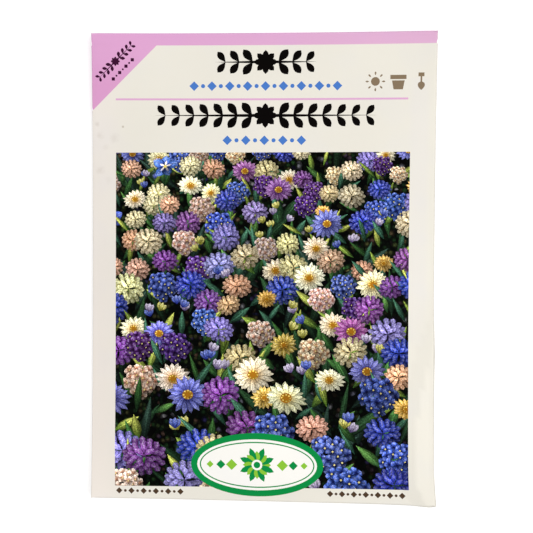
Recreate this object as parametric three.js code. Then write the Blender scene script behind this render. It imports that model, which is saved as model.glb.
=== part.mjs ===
// A paper seed packet, sealed and full, lying on its back with its printed front up.
// It is one die-cut sheet: a front panel with four wings. The narrow left wing is the seam flap, the wide
// right wing is the back panel glued over it, and the bottom and top wings are flaps glued over both.
// The flat seeds lie loose inside on the back panel and bulge the front, so the ends and sides lift a little.
// Units are millimetres: +X to the right across the front, +Y to the top of the packet, +Z up.
// The origin is under the middle of the packet, at the height of the surface that it lies on.
import * as THREE from "three";
import { mergeVertices } from "three/addons/utils/BufferGeometryUtils.js";

// Driving dimensions
const WIDTH = 82.5; // over the side folds
const HEIGHT = 111.8; // over the top and bottom folds
const PAPER = 0.12; // one thickness of coated label paper
const GLUE = 0.05; // a dried glue line between two thicknesses
const SKIN_GAP = 0.03; // between a glue line and the paper on each side of it
const EDGE_GAP = 0.5; // front to back at the side folds, middle of paper to middle of paper
const SEED_BULGE = 2.6; // how far the seeds lift the front above that gap
const SEAM_FLAP = 12; // width of the seam flap inside the back panel
const SEAM_INSET = 1.6; // from the left fold to the back panel's cut edge
const TOP_FLAP = 17; // depth of the top flap
const BOTTOM_FLAP = 13; // depth of the bottom flap
const CORNER_NOTCH = 0.8; // how far each wing stops short of the next fold
const SEED_COUNT = 30;
const SEED = { length: 4.4, width: 3.5, thickness: 2.2 };

// The layers of the back: each glued layer is one pitch further out than the one inside it.
const PITCH = PAPER + GLUE + 2 * SKIN_GAP;
const SEAM_LEVEL = PITCH;
const BACK_LEVEL = 0;
const END_FLAP_LEVEL = -PITCH;

// How far the resting back curves up to the sides and ends, and where its flat spot stops.
const SIDE_RISE = 0.7;
const END_RISE = 1.1;
const FLAT_HALF_WIDTH = 22;
const FLAT_HALF_HEIGHT = 22;

// The front climbs from the folds to its full bulge over these lengths.
const SIDE_RAMP = 18;
const BOTTOM_RAMP = 19;
const TOP_RAMP = 62;

// The bulge draws each fold in by this much at its middle.
const PULL = { left: 0.3, right: 0.5, top: 0.25, bottom: 0.17 };

const GRID = 5; // longest side of a facet
const CORNER_GRID = 1.3; // the same at a flap's round corners
const FOLD_STEPS = 5; // facets round a fold

const easedRise = (distance, ramp) => Math.sin((Math.PI / 2) * Math.min(1, Math.max(0, distance / ramp)));
const square = (x) => x * x;

// Height of the middle of the back panel's paper above the surface below.
function backHeight(x, y) {
  const side = Math.max(0, Math.abs(x) - FLAT_HALF_WIDTH) / (WIDTH / 2 - FLAT_HALF_WIDTH);
  const end = Math.max(0, Math.abs(y) - FLAT_HALF_HEIGHT) / (HEIGHT / 2 - FLAT_HALF_HEIGHT);
  return PAPER / 2 + SIDE_RISE * square(side) + END_RISE * square(end);
}

// Height of the middle of the front panel's paper.
function frontHeight(x, y) {
  const side = easedRise(WIDTH / 2 - Math.abs(x), SIDE_RAMP);
  const bottom = easedRise(HEIGHT / 2 + y, BOTTOM_RAMP);
  const top = easedRise(HEIGHT / 2 - y, TOP_RAMP);
  return backHeight(x, y) + EDGE_GAP + SEED_BULGE * side * bottom * top;
}

// The folds: how far the flat paper reaches before it turns, at the packet's corners.
const turnRadius = (level) => (EDGE_GAP - level) / 2;
const LEFT_TURN = WIDTH / 2 - turnRadius(SEAM_LEVEL) - PAPER / 2;
const RIGHT_TURN = WIDTH / 2 - turnRadius(BACK_LEVEL) - PAPER / 2;
const END_TURN = HEIGHT / 2 - turnRadius(END_FLAP_LEVEL) - PAPER / 2;

// Moves a point of the unfilled packet in by the pull of the bulge.
function pulledIn(x, y) {
  const middleOfSide = 1 - square(y / (HEIGHT / 2));
  const middleOfEnd = 1 - square(x / (WIDTH / 2));
  const sidePull = x < 0 ? PULL.left : PULL.right;
  const endPull = y < 0 ? PULL.bottom : PULL.top;
  return [
    x * (1 - (sidePull * middleOfSide) / (WIDTH / 2)),
    y * (1 - (endPull * middleOfEnd) / (HEIGHT / 2)),
  ];
}

function onFront(x, y) {
  return new THREE.Vector3(...pulledIn(x, y), frontHeight(x, y));
}

function onBack(x, y, level) {
  return new THREE.Vector3(...pulledIn(x, y), backHeight(x, y) + level);
}

// A point on the half turn from the front panel's edge at (x, y) to a wing at this level, out along (ox, oy).
function onFold(x, y, level, ox, oy, share) {
  const front = onFront(x, y);
  const back = onBack(x, y, level);
  const radius = (front.z - back.z) / 2;
  const angle = Math.PI * share;
  const out = radius * Math.sin(angle);
  return new THREE.Vector3(front.x + ox * out, front.y + oy * out, back.z + radius * (1 + Math.cos(angle)));
}

// Evenly spaced values from a to b, no further apart than step, both ends included.
function spread(a, b, step = GRID) {
  const count = Math.max(1, Math.ceil(Math.abs(b - a) / step));
  return Array.from({ length: count + 1 }, (_, i) => a + ((b - a) * i) / count);
}

// A sheet is collected as patches of quads between points; turned patches have their rows the other way.
function addPatch(triangles, across, along, place, turned = false) {
  for (let i = 0; i + 1 < across.length; i += 1) {
    for (let j = 0; j + 1 < along.length; j += 1) {
      const a = place(across[i], along[j]);
      const b = place(across[i + 1], along[j]);
      const c = place(across[i + 1], along[j + 1]);
      const d = place(across[i], along[j + 1]);
      const quad = turned ? [a, d, c, a, c, b] : [a, b, c, a, c, d];
      for (const p of quad) triangles.push(p.x, p.y, p.z);
    }
  }
}

// Gives an open sheet its thickness: both faces along the normals, and a wall along every free edge.
function thickened(triangles, thickness) {
  const loose = new THREE.BufferGeometry();
  loose.setAttribute("position", new THREE.Float32BufferAttribute(triangles, 3));
  const sheet = mergeVertices(loose, 1e-4);
  sheet.computeVertexNormals();
  const { position, normal } = sheet.attributes;
  const count = position.count;
  const points = new Float32Array(count * 6);
  for (let i = 0; i < count; i += 1) {
    for (let k = 0; k < 3; k += 1) {
      const middle = position.array[3 * i + k];
      const half = (normal.array[3 * i + k] * thickness) / 2;
      points[3 * i + k] = middle + half;
      points[3 * (count + i) + k] = middle - half;
    }
  }
  const index = sheet.index.array;
  const used = new Set();
  for (let i = 0; i < index.length; i += 3) {
    for (let k = 0; k < 3; k += 1) used.add(`${index[i + k]}_${index[i + ((k + 1) % 3)]}`);
  }
  const faces = [];
  for (let i = 0; i < index.length; i += 3) {
    const [a, b, c] = [index[i], index[i + 1], index[i + 2]];
    faces.push(a, b, c, count + a, count + c, count + b);
    for (const [p, q] of [[a, b], [b, c], [c, a]]) {
      if (!used.has(`${q}_${p}`)) faces.push(p, count + p, q, q, count + p, count + q);
    }
  }
  const solid = new THREE.BufferGeometry();
  solid.setAttribute("position", new THREE.BufferAttribute(points, 3));
  solid.setIndex(faces);
  solid.computeVertexNormals();
  return solid;
}

// The end flaps have slanted sides and round corners; the seam flap's ends slant too.
const FLAP_HALF_WIDTH = WIDTH / 2 - CORNER_NOTCH;
const FLAP_SLANT = 0.22;
const FLAP_CORNER = 5;
const SEAM_SLANT = 0.12;

// How much of its full half width an end flap has at a distance from its fold.
function flapShare(distance, depth) {
  const intoCorner = Math.max(0, distance - (depth - FLAP_CORNER));
  const rounding = FLAP_CORNER - Math.sqrt(square(FLAP_CORNER) - square(intoCorner));
  return (FLAP_HALF_WIDTH - FLAP_SLANT * distance - rounding) / FLAP_HALF_WIDTH;
}

// The rows and columns that the panels share, so that every wing meets the front panel point for point.
const WING_HALF = HEIGHT / 2 - CORNER_NOTCH;
const wingRows = spread(-WING_HALF, WING_HALF);
const flapColumns = spread(-FLAP_HALF_WIDTH, FLAP_HALF_WIDTH);
const frontRows = [-END_TURN, ...wingRows, END_TURN];
const frontColumns = [-LEFT_TURN, ...flapColumns, RIGHT_TURN];
const foldShares = spread(0, 1, 1 / FOLD_STEPS);

function packetGeometry() {
  const sheet = [];
  addPatch(sheet, frontColumns, frontRows, onFront);

  // Right wing: the back panel, to its cut edge by the left fold.
  const backEdge = SEAM_INSET - WIDTH / 2;
  addPatch(sheet, foldShares, wingRows, (s, y) => onFold(RIGHT_TURN, y, BACK_LEVEL, 1, 0, s));
  addPatch(sheet, spread(RIGHT_TURN, backEdge), wingRows, (x, y) => onBack(x, y, BACK_LEVEL));

  // Left wing: the seam flap, inside the back panel.
  const seamRow = (x, y) => y * (1 - (SEAM_SLANT * (x + LEFT_TURN)) / WING_HALF);
  addPatch(sheet, foldShares, wingRows, (s, y) => onFold(-LEFT_TURN, y, SEAM_LEVEL, -1, 0, s), true);
  addPatch(sheet, spread(-LEFT_TURN, SEAM_FLAP - WIDTH / 2), wingRows,
    (x, y) => onBack(x, seamRow(x, y), SEAM_LEVEL), true);

  // Top and bottom wings: the end flaps, outside the back panel.
  for (const [end, depth] of [[1, TOP_FLAP], [-1, BOTTOM_FLAP]]) {
    const corner = spread(depth - FLAP_CORNER, depth, CORNER_GRID);
    const distances = [...spread(0, depth - FLAP_CORNER), ...corner.slice(1)];
    const onFlap = (x, d) => onBack(x * flapShare(d, depth), end * (END_TURN - d), END_FLAP_LEVEL);
    addPatch(sheet, flapColumns, foldShares,
      (x, s) => onFold(x, end * END_TURN, END_FLAP_LEVEL, 0, end, s), end < 0);
    addPatch(sheet, flapColumns, distances, onFlap, end < 0);
  }
  return thickened(sheet, PAPER);
}

// A glue line lies this far from its flap's fold, and stops short of the flap's sides.
const SEAM_GLUE = { near: 4.2, far: 9.8, sides: 6 };
const TOP_GLUE = { near: 8, far: 14, sides: 4 };
const BOTTOM_GLUE = { near: 5, far: 10, sides: 4 };

// A thin strip that follows the layers of the back, just inside the one at this level.
function glueGeometry(x0, x1, y0, y1, outerLevel) {
  const strip = [];
  addPatch(strip, spread(x0, x1), spread(y0, y1), (x, y) => onBack(x, y, outerLevel + PITCH / 2));
  return thickened(strip, GLUE);
}

// Draws between 0 and 1 that are the same in every build.
function seededDraw(seed) {
  let state = seed;
  return () => {
    state = (Math.imul(state, 1664525) + 1013904223) >>> 0;
    return state / 2 ** 32;
  };
}

// Where the seeds lie: a loose single layer that has slid towards the bottom of the packet.
const SEED_AREA = { left: -25.5, right: 28, bottom: -40, top: 21 };
const SEED_SPACING = 5.5; // between the middles of neighbours
const SEED_SIZES = { smallest: 0.9, largest: 1.04 };
const SEED_DRAW = 2; // picks one of the many random layouts
const SLIDE = 1.35; // above 1, the lower part of the area is the fuller one
function seedPlaces() {
  const draw = seededDraw(SEED_DRAW);
  const places = [];
  while (places.length < SEED_COUNT) {
    const x = THREE.MathUtils.lerp(SEED_AREA.left, SEED_AREA.right, draw());
    const y = THREE.MathUtils.lerp(SEED_AREA.bottom, SEED_AREA.top, draw() ** SLIDE);
    const size = THREE.MathUtils.lerp(SEED_SIZES.smallest, SEED_SIZES.largest, draw());
    const turn = Math.PI * 2 * draw();
    if (places.every((p) => Math.hypot(p.x - x, p.y - y) > SEED_SPACING)) places.push({ x, y, size, turn });
  }
  return places;
}

// A seed: a flattened, slightly square bean, narrower at the scar where it was joined to its pod.
const SEED_SQUARENESS = 0.82;
const SCAR_NARROWING = 0.16;
const SEED_FACETS = { around: 10, down: 7 };
function seedGeometry() {
  const bean = new THREE.SphereGeometry(1, SEED_FACETS.around, SEED_FACETS.down);
  bean.deleteAttribute("uv");
  bean.deleteAttribute("normal");
  const geometry = mergeVertices(bean, 1e-4);
  const { position } = geometry.attributes;
  const squared = (v) => Math.sign(v) * Math.abs(v) ** SEED_SQUARENESS;
  for (let i = 0; i < position.count; i += 1) {
    const x = squared(position.getX(i));
    const narrowing = 1 - SCAR_NARROWING * (x + 1) * 0.5;
    position.setXYZ(
      i,
      (x * SEED.length) / 2,
      (squared(position.getZ(i)) * narrowing * SEED.width) / 2,
      (-position.getY(i) * narrowing * SEED.thickness) / 2,
    );
  }
  geometry.computeVertexNormals();
  return geometry;
}

const paper = new THREE.MeshStandardMaterial({ color: 0xede8de, roughness: 0.5, metalness: 0 });
const glue = new THREE.MeshStandardMaterial({ color: 0xd9d2b8, roughness: 0.35, metalness: 0 });
const seedCoat = new THREE.MeshStandardMaterial({ color: 0x6b5a45, roughness: 0.45, metalness: 0 });

const packet = new THREE.Group();

function addMesh(name, geometry, material) {
  const mesh = new THREE.Mesh(geometry, material);
  mesh.name = name;
  packet.add(mesh);
  return mesh;
}

addMesh("paper_packet", packetGeometry(), paper);

const seamGlueHalf = WING_HALF - SEAM_GLUE.sides;
addMesh("seam_glue", glueGeometry(
  SEAM_GLUE.near - WIDTH / 2, SEAM_GLUE.far - WIDTH / 2, -seamGlueHalf, seamGlueHalf, BACK_LEVEL), glue);

const topGlueHalf = FLAP_HALF_WIDTH * flapShare(TOP_GLUE.far, TOP_FLAP) - TOP_GLUE.sides;
addMesh("top_flap_glue", glueGeometry(
  -topGlueHalf, topGlueHalf, END_TURN - TOP_GLUE.far, END_TURN - TOP_GLUE.near, END_FLAP_LEVEL), glue);

const bottomGlueHalf = FLAP_HALF_WIDTH * flapShare(BOTTOM_GLUE.far, BOTTOM_FLAP) - BOTTOM_GLUE.sides;
addMesh("bottom_flap_glue", glueGeometry(
  -bottomGlueHalf, bottomGlueHalf, BOTTOM_GLUE.near - END_TURN, BOTTOM_GLUE.far - END_TURN,
  END_FLAP_LEVEL), glue);

// Each seed is turned on the spot and lies just clear of the paper under it.
const SEED_CLEARANCE = 0.1;
seedPlaces().forEach(({ x, y, size, turn }, i) => {
  const seed = addMesh(`seed_${String(i + 1).padStart(2, "0")}`, seedGeometry(), seedCoat);
  seed.scale.setScalar(size);
  seed.rotation.z = turn;
  const floor = backHeight(Math.abs(x) + SEED.length / 2, Math.abs(y) + SEED.length / 2) + PAPER / 2;
  seed.position.set(x, y, floor + SEED_CLEARANCE + (size * SEED.thickness) / 2);
});

export default packet;
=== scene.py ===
import math
import random
from collections import namedtuple

import bpy
import numpy as np
from mathutils import Euler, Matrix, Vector
from mathutils.geometry import delaunay_2d_cdt


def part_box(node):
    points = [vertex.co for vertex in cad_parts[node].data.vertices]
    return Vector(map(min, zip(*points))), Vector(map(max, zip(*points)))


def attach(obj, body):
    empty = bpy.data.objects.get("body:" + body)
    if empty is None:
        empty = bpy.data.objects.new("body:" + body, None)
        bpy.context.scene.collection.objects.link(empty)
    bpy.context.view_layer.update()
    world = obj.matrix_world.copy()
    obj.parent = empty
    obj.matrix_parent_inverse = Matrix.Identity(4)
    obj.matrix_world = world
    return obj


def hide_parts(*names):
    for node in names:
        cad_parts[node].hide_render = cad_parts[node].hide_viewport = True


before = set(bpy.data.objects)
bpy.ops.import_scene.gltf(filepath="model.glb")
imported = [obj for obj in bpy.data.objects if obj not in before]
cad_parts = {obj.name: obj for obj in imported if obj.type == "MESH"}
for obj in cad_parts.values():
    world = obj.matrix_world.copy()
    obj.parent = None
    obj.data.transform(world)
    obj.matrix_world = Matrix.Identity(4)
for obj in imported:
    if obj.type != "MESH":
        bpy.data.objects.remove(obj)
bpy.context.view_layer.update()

# ---------------------------------------------------------------- The die-cut blank
# The packet is one sheet of label paper, coated on its outside: a front panel with four wings, cut out by a
# die and creased where it will fold. It is laid out flat here, outside up, in millimetres from the middle
# of the front panel: the seam flap to the left, the back panel to the right, the end flaps up and down.
MM = 0.001
WIDTH, HEIGHT = 82.5, 111.8  # over the folds
PAPER = 0.12
LAYER = 0.23  # from one glued layer of the back to the next
EDGE_GAP = 0.5  # from the front to the back at the side folds
SEAM_FLAP, SEAM_INSET, SEAM_SLANT = 12, 1.6, 0.12
TOP_FLAP, BOTTOM_FLAP = 17, 13
FLAP_IN, WING_IN, CORNER_IN, SLIT = 0.33, 0.44, 0.03, 0.02  # how far each stops short of the next fold
FLAP_SLANT, FLAP_CORNER = 0.22, 5
BENT_STEP, FLAT_STEP = 0.1, 1.4  # how far apart the points of a cut edge are

SEAM_LEVEL, BACK_LEVEL, END_LEVEL = LAYER, 0, -LAYER
SEAM_TURN, BACK_TURN, END_TURN = [(EDGE_GAP - level) / 2 for level in (SEAM_LEVEL, BACK_LEVEL, END_LEVEL)]
LEFT = WIDTH / 2 - SEAM_TURN - PAPER / 2  # how far the flat front reaches before each crease
RIGHT = WIDTH / 2 - BACK_TURN - PAPER / 2
END = HEIGHT / 2 - END_TURN - PAPER / 2
SEAM_CREASE, BACK_CREASE, END_CREASE = [math.pi * turn for turn in (SEAM_TURN, BACK_TURN, END_TURN)]
# where each wing is flat again, past its crease
SEAM_START, BACK_START, FLAP_START = LEFT + SEAM_CREASE, RIGHT + BACK_CREASE, END + END_CREASE
WING_HALF = HEIGHT / 2 - WING_IN
FLAP_HALF = WIDTH / 2 - FLAP_IN
CORNER_HALF = HEIGHT / 2 - CORNER_IN  # the side folds run on to the corners, past a slit beside each flap
SEAM_REACH = SEAM_FLAP - WIDTH / 2 + LEFT  # flat width of the seam flap past its crease
BACK_REACH = RIGHT - SEAM_INSET + WIDTH / 2


def in_crease(x, y):
    return END < abs(y) < FLAP_START or -SEAM_START < x < -LEFT or RIGHT < x < BACK_START


def stepped(corners):
    """A closed outline through these corners, with its points close together where it will bend."""
    points = []
    for (x0, y0), (x1, y1) in zip(corners, corners[1:] + corners[:1]):
        longest = BENT_STEP if in_crease((x0 + x1) / 2, (y0 + y1) / 2) else FLAT_STEP
        count = max(1, math.ceil(math.hypot(x1 - x0, y1 - y0) / longest))
        points += [(x0 + (x1 - x0) * i / count, y0 + (y1 - y0) * i / count) for i in range(count)]
    return np.array(points)


def flap_side(depth, steps=8):
    """(half width, distance from the crease) down the side of an end flap, to the end of its round corner."""
    side = []
    for i in range(steps + 1):
        into = FLAP_CORNER * math.sin(math.pi / 2 * i / steps)
        distance = depth - FLAP_CORNER + into
        rounding = FLAP_CORNER - math.sqrt(FLAP_CORNER**2 - into**2)
        side.append((FLAP_HALF - FLAP_SLANT * distance - rounding, distance))
    return side


def mirrored(corners, x_sign, y_sign):
    return [(x_sign * x, y_sign * y) for x, y in reversed(corners)]


def blank_outline():
    slit = FLAP_HALF + SLIT
    bottom = [(-half, -FLAP_START - far) for half, far in flap_side(BOTTOM_FLAP)]
    lower_right = [(FLAP_HALF, -FLAP_START), (FLAP_HALF, -END), (slit, -END), (slit, -CORNER_HALF)]
    lower_right += [(RIGHT, -CORNER_HALF), (BACK_START, -CORNER_HALF), (BACK_START, -WING_HALF)]
    lower_right += [(BACK_START + BACK_REACH, -WING_HALF)]
    top = [(half, FLAP_START + far) for half, far in flap_side(TOP_FLAP)]
    upper_left = [(-FLAP_HALF, FLAP_START), (-FLAP_HALF, END), (-slit, END), (-slit, CORNER_HALF)]
    upper_left += [(-LEFT, CORNER_HALF), (-SEAM_START, CORNER_HALF), (-SEAM_START, WING_HALF)]
    upper_left += [(-SEAM_START - SEAM_REACH, WING_HALF - SEAM_SLANT * SEAM_REACH)]
    corners = bottom + mirrored(bottom, -1, 1) + lower_right + mirrored(lower_right, 1, -1)
    corners += top + mirrored(top, -1, 1) + upper_left + mirrored(upper_left, 1, -1)
    return stepped(corners)


# ---------------------------------------------------------------- Ink on the blank
# The outside is printed flat before the die cuts it. Each shape is laid over those before it, as inks are,
# and keeps where its root is and how far it reaches, so that a petal or a leaf can be shaded along itself.
FLAT_INK, PETAL, LEAF, SHADE = range(4)  # the grain of a shape
Shape = namedtuple("Shape", "outline root_ink tip_ink root reach half_width grain light power fullness",
                   defaults=((0, 0), (1, 0), 1, FLAT_INK, 1, 1, 1))
printed = []


def ink(code):
    """A printer's colour code as light that the sheet sends back."""
    parts = [int(code[i : i + 2], 16) / 255 for i in (0, 2, 4)]
    return np.array([c / 12.92 if c < 0.04045 else ((c + 0.055) / 1.055) ** 2.4 for c in parts])


def lay(outline, root_ink, tip_ink=None, **more):
    tip_ink = root_ink if tip_ink is None else tip_ink
    printed.append(Shape(np.array(outline, float), root_ink, tip_ink, **more))


def lay_box(x0, y0, x1, y1, colour):
    lay([(x0, y0), (x1, y0), (x1, y1), (x0, y1)], colour)


def lay_rule(left, right, middle, thick, colour):
    lay_box(left, middle - thick / 2, right, middle + thick / 2, colour)


def oval(x, y, half_width, half_height, sides):
    turns = [2 * math.pi * i / sides for i in range(sides)]
    return [(x + half_width * math.cos(t), y + half_height * math.sin(t)) for t in turns]


def lay_disc(x, y, radius, colour, sides=14, squash=1, **more):
    lay(oval(x, y, radius, squash * radius, sides), colour, **more)


def blade(length, width, widest=0.6, fullness=0.8, steps=5):
    """Outline of a petal or leaf that grows along +x from its root: widest at that share of its length."""
    power = math.log(0.5) / math.log(widest)
    shares = [i / steps for i in range(steps + 1)]
    halves = [width / 2 * max(0, math.sin(math.pi * s**power)) ** fullness for s in shares]
    right = [(length * s, -h) for s, h in zip(shares, halves)]
    left = [(length * s, h) for s, h in zip(shares[1:-1], halves[1:-1])]
    return np.array(right + left[::-1])


def lay_blade(x, y, angle, length, width, root_ink, tip_ink=None, view=np.eye(2), grain=PETAL, light=1,
              widest=0.6, fullness=0.8, steps=5):
    """Prints a blade from (x, y) at this angle; view tilts the whole bloom that it belongs to."""
    turn = view @ np.array([[math.cos(angle), -math.sin(angle)], [math.sin(angle), math.cos(angle)]])
    outline = blade(length, width, widest, fullness, steps) @ turn.T + (x, y)
    half = abs(np.linalg.det(turn)) * width / 2 / max(1e-6, np.linalg.norm(turn[:, 0]))
    lay(outline, root_ink, tip_ink, root=(x, y), reach=turn[:, 0] * length, half_width=half, grain=grain,
        light=light, power=math.log(0.5) / math.log(widest), fullness=fullness)


# ---------------------------------------------------------------- The violet bands
# A violet band runs over the top fold, with a corner flash under its left end and a thin rule a little
# lower. The inks bleed over the folds, so that no white shows where the packet turns.
VIOLET = ink("dba8cd")
PLUM = ink("3a1230")
BAND_LOW = 53.0
FLASH_LOW, FLASH_LEFT, FLASH_RIGHT = 37.4, -41.2, -25.5  # its slope runs from left and low to the band
BLEED = 3.2  # how far the ink runs on past a crease
lay_box(-SEAM_START - BLEED, BAND_LOW, BACK_START + BLEED, FLAP_START + BLEED, VIOLET)
lay([(-SEAM_START - BLEED, BAND_LOW), (-SEAM_START - BLEED, FLASH_LOW), (FLASH_LEFT, FLASH_LOW),
     (FLASH_RIGHT, BAND_LOW)], VIOLET)
lay_rule(-35.45, 34.6, 40.15, 0.45, VIOLET)

# ---------------------------------------------------------------- The ornaments
# Printed sprigs and rows of dots: near-black and blue ones above the picture, plum ones in the corner flash,
# brown ones under the picture, and three small growing signs at the right, one for sun, pot and trowel.
BLACK = ink("060403")
BLUE = ink("4a79c4")
BROWN = ink("85735c")
SEPIA = ink("4d3b2c")
LEAF_LEAN = math.radians(52)  # of a leaf from its stem
FLASH_SLOPE = math.radians(44.7)


def turned(x, y, middle, angle):
    c, s = math.cos(angle), math.sin(angle)
    return middle[0] + c * x - s * y, middle[1] + s * x + c * y


def lay_diamond(middle, half_width, half_height, colour, angle=0.0):
    corners = [(-half_width, 0), (0, -half_height), (half_width, 0), (0, half_height)]
    lay([turned(x, y, middle, angle) for x, y in corners], colour)


def lay_sprig(middle, width, height, colour, pairs, angle=0.0):
    """A stem with pairs of leaves that lean out from its middle, and a small bloom at the middle."""
    lay_diamond(middle, width / 2, 0.07 * height, colour, angle)
    bloom = 0.42 * height
    room = width / 2 - bloom
    for side in (-1, 1):
        for i in range(pairs):
            along = bloom + room * (i + 0.2) / pairs
            length = 0.66 * height * (1 - 0.25 * i / pairs)
            for up in (-1, 1):
                x, y = turned(side * along, 0, middle, angle)
                lean = up * LEAF_LEAN
                heading = angle + (lean if side > 0 else math.pi - lean)
                lay_blade(x, y, heading, length, 0.52 * length, colour, grain=FLAT_INK, steps=6)
    for i in range(8):
        lay_blade(*middle, angle + math.pi / 4 * i, 0.5 * height, 0.26 * height, colour, grain=FLAT_INK)


def lay_dots(middle, width, height, colour, count, angle=0.0):
    """A row of diamonds and dots, in turn."""
    for i in range(count):
        x, y = turned(width * ((i + 0.5) / count - 0.5), 0, middle, angle)
        if i % 2:
            lay_disc(x, y, 0.22 * height, colour, sides=10)
        else:
            lay_diamond((x, y), height / 2, height / 2, colour, angle)


lay_sprig((0.7, 49.0), 24.4, 5.7, BLACK, 3)
lay_dots((0.7, 43.3), 36.4, 2.3, BLUE, 17)
lay_sprig((0.7, 36.3), 53.6, 5.9, BLACK, 7)
lay_dots((0.5, 30.4), 20.0, 2.3, BLUE, 9)
lay_sprig((-35.5, 49.2), 12.6, 2.3, PLUM, 4, FLASH_SLOPE)
lay_dots((-33.7, 47.3), 7.6, 1.1, PLUM, 7, FLASH_SLOPE)
lay_dots((-26.9, -53.95), 16.4, 1.55, SEPIA, 11)
lay_dots((25.1, -53.65), 18.4, 1.55, SEPIA, 13)


def lay_signs(x, y, apart, size, colour):
    """A sun, a flower pot and a trowel, side by side."""
    lay_disc(x, y, 1.05 * size, colour)
    for i in range(8):
        angle = math.pi / 4 * i
        foot = turned(1.45 * size, 0, (x, y), angle)
        lay_blade(*foot, angle, 0.9 * size, 0.42 * size, colour, grain=FLAT_INK)
    x += apart
    lay_box(x - 1.9 * size, y + 0.5 * size, x + 1.9 * size, y + 1.5 * size, colour)
    pot = [(-1.5, 0.2), (-1.1, -1.9), (1.1, -1.9), (1.5, 0.2)]
    lay([(x + a * size, y + b * size) for a, b in pot], colour)
    x += apart
    lay_blade(x, y, math.radians(-90), 2.1 * size, 1.7 * size, colour, grain=FLAT_INK, widest=0.4)
    lay_box(x - 0.2 * size, y - 0.1 * size, x + 0.2 * size, y + 1.3 * size, colour)
    lay_box(x - 0.7 * size, y + 1.1 * size, x + 0.7 * size, y + 2.0 * size, colour)


lay_signs(26.8, 44.2, 5.4, 1.0, BROWN)

# ---------------------------------------------------------------- The picture
# A flower bed in full bloom fills the middle of the front: round blooms crowd in rows from the far end of the
# bed at the top to the near end at the bottom, with leaves and buds between them and deep shade under them.
BED = dict(left=-35.4, right=35.15, low=-52.5, high=27.5)
PLATE = np.array([(-35.4, -52.8), (35.2, -52.2), (35.25, 27.65), (-35.4, 27.4)])  # it sat a little askew
DEEP_LEAVES = 120
BLOOMS_APART, ROWS_APART = 8.3, 6.1  # at size 1
BLOOMS_BELOW, BUDS_BELOW = 0.76, 0.9  # a place draws a number up to 1: above both it gets leaves alone
draw = random.Random(11)
lay(PLATE, ink("050806"), grain=SHADE)
picture_from = len(printed)
SUNLIGHT = np.array([-0.5, 0.87])  # the bed is lit from the upper left


def tilt(squash, direction):
    c, s = math.cos(direction), math.sin(direction)
    turn = np.array([[c, -s], [s, c]])
    return turn @ np.diag([1, squash]) @ turn.T


def lit(angle, much=0.45):
    """How bright a petal is that points this way."""
    return 1 + much * float(np.dot(SUNLIGHT, (math.cos(angle), math.sin(angle)))) + draw.uniform(-0.25, 0.25)


def lay_ring(x, y, count, reach, width, inks, view, light, start=0.0, inner=0.0, **form):
    """A ring of petals round (x, y)."""
    for i in range(count):
        angle = start + 2 * math.pi * (i + draw.uniform(-0.12, 0.12)) / count
        foot = view @ np.array([inner * math.cos(angle), inner * math.sin(angle)])
        length = reach * draw.uniform(0.88, 1.07)
        shade = light * lit(angle)
        lay_blade(x + foot[0], y + foot[1], angle, length, width, *inks, view=view, light=shade, **form)


def lay_eye(x, y, radius, inks, view, light):
    """The raised middle of a bloom: a dark disc under a ring of stamens."""
    lay_disc(x, y, radius, inks[0], squash=0.85, light=0.8 * light)
    lay_ring(x, y, 8, 0.52 * radius, 0.5 * radius, inks, view, light, inner=0.42 * radius, steps=3)


def aster(x, y, radius, inks, light):
    view = tilt(draw.uniform(0.7, 0.95), draw.uniform(-0.4, 0.4))
    start = draw.uniform(0, 1)
    lay_ring(x, y, 16, radius, 0.33 * radius, inks, view, 0.7 * light, start, steps=4)
    lay_ring(x, y, 14, 0.88 * radius, 0.32 * radius, inks, view, light, start + 0.2, steps=4)
    lay_eye(x, y, 0.27 * radius, STAMENS, view, light)


def pompon(x, y, radius, inks, light):
    view = tilt(draw.uniform(0.8, 0.98), draw.uniform(-0.4, 0.4))
    for ring, count in enumerate((15, 13, 10, 7, 4)):
        inner = radius * (0.57 - 0.14 * ring)
        if ring == 3:  # from here on the petals are young, and pale to the root
            inks = (0.45 * inks[0] + 0.55 * inks[1], inks[1])
        lay_ring(x, y, count, 0.46 * radius, 0.34 * radius, inks, view, light * (0.52 + 0.15 * ring),
                 start=0.21 * ring, inner=inner, steps=4, widest=0.66, fullness=0.85)


def bellflower(x, y, radius, inks, light):
    view = tilt(draw.uniform(0.65, 0.95), draw.uniform(-0.6, 0.6))
    start = draw.uniform(0, 1)
    lay_ring(x, y, 5, radius, 0.8 * radius, inks, view, light, start, widest=0.5, fullness=0.9)
    lay_ring(x, y, 5, 0.5 * radius, 0.2 * radius, (ink("f3eed2"), ink("d8d2ee")), view, light, start, steps=3)
    lay_disc(x, y, 0.13 * radius, ink("e9d06a"), sides=7, squash=0.8)


def cluster(x, y, radius, inks, light):
    """A round head of small four-petalled florets, the outer ones behind."""
    count = 17
    for i in range(count):
        share = math.sqrt((count - i) / count)
        angle = 2.4 * i
        out = np.array([math.cos(angle), math.sin(angle)]) * share
        at = np.array([x, y]) + out * 0.78 * radius
        shade = light * (0.9 + 0.3 * float(np.dot(out, SUNLIGHT)) - 0.18 * share) * draw.uniform(0.8, 1.2)
        view = tilt(1 - 0.35 * share, angle + math.pi / 2)
        lay_ring(*at, 4, 0.33 * radius, 0.36 * radius, inks, view, shade, draw.uniform(0, 1.5), steps=3)
        if i % 3:
            lay_disc(*at, 0.05 * radius, ink("e8d98c"), sides=4, light=0.8 * light)


def bud(x, y, radius, inks, light):
    """A bud of overlapping scales that points up."""
    lean = math.radians(90 + draw.uniform(-35, 35))
    for side in (0.45, -0.45, 0.0):
        shade = light * (1 - 0.4 * abs(side))
        lay_blade(x, y, lean + side, 1.1 * radius, 0.62 * radius, *inks, light=shade, steps=4)


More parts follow.
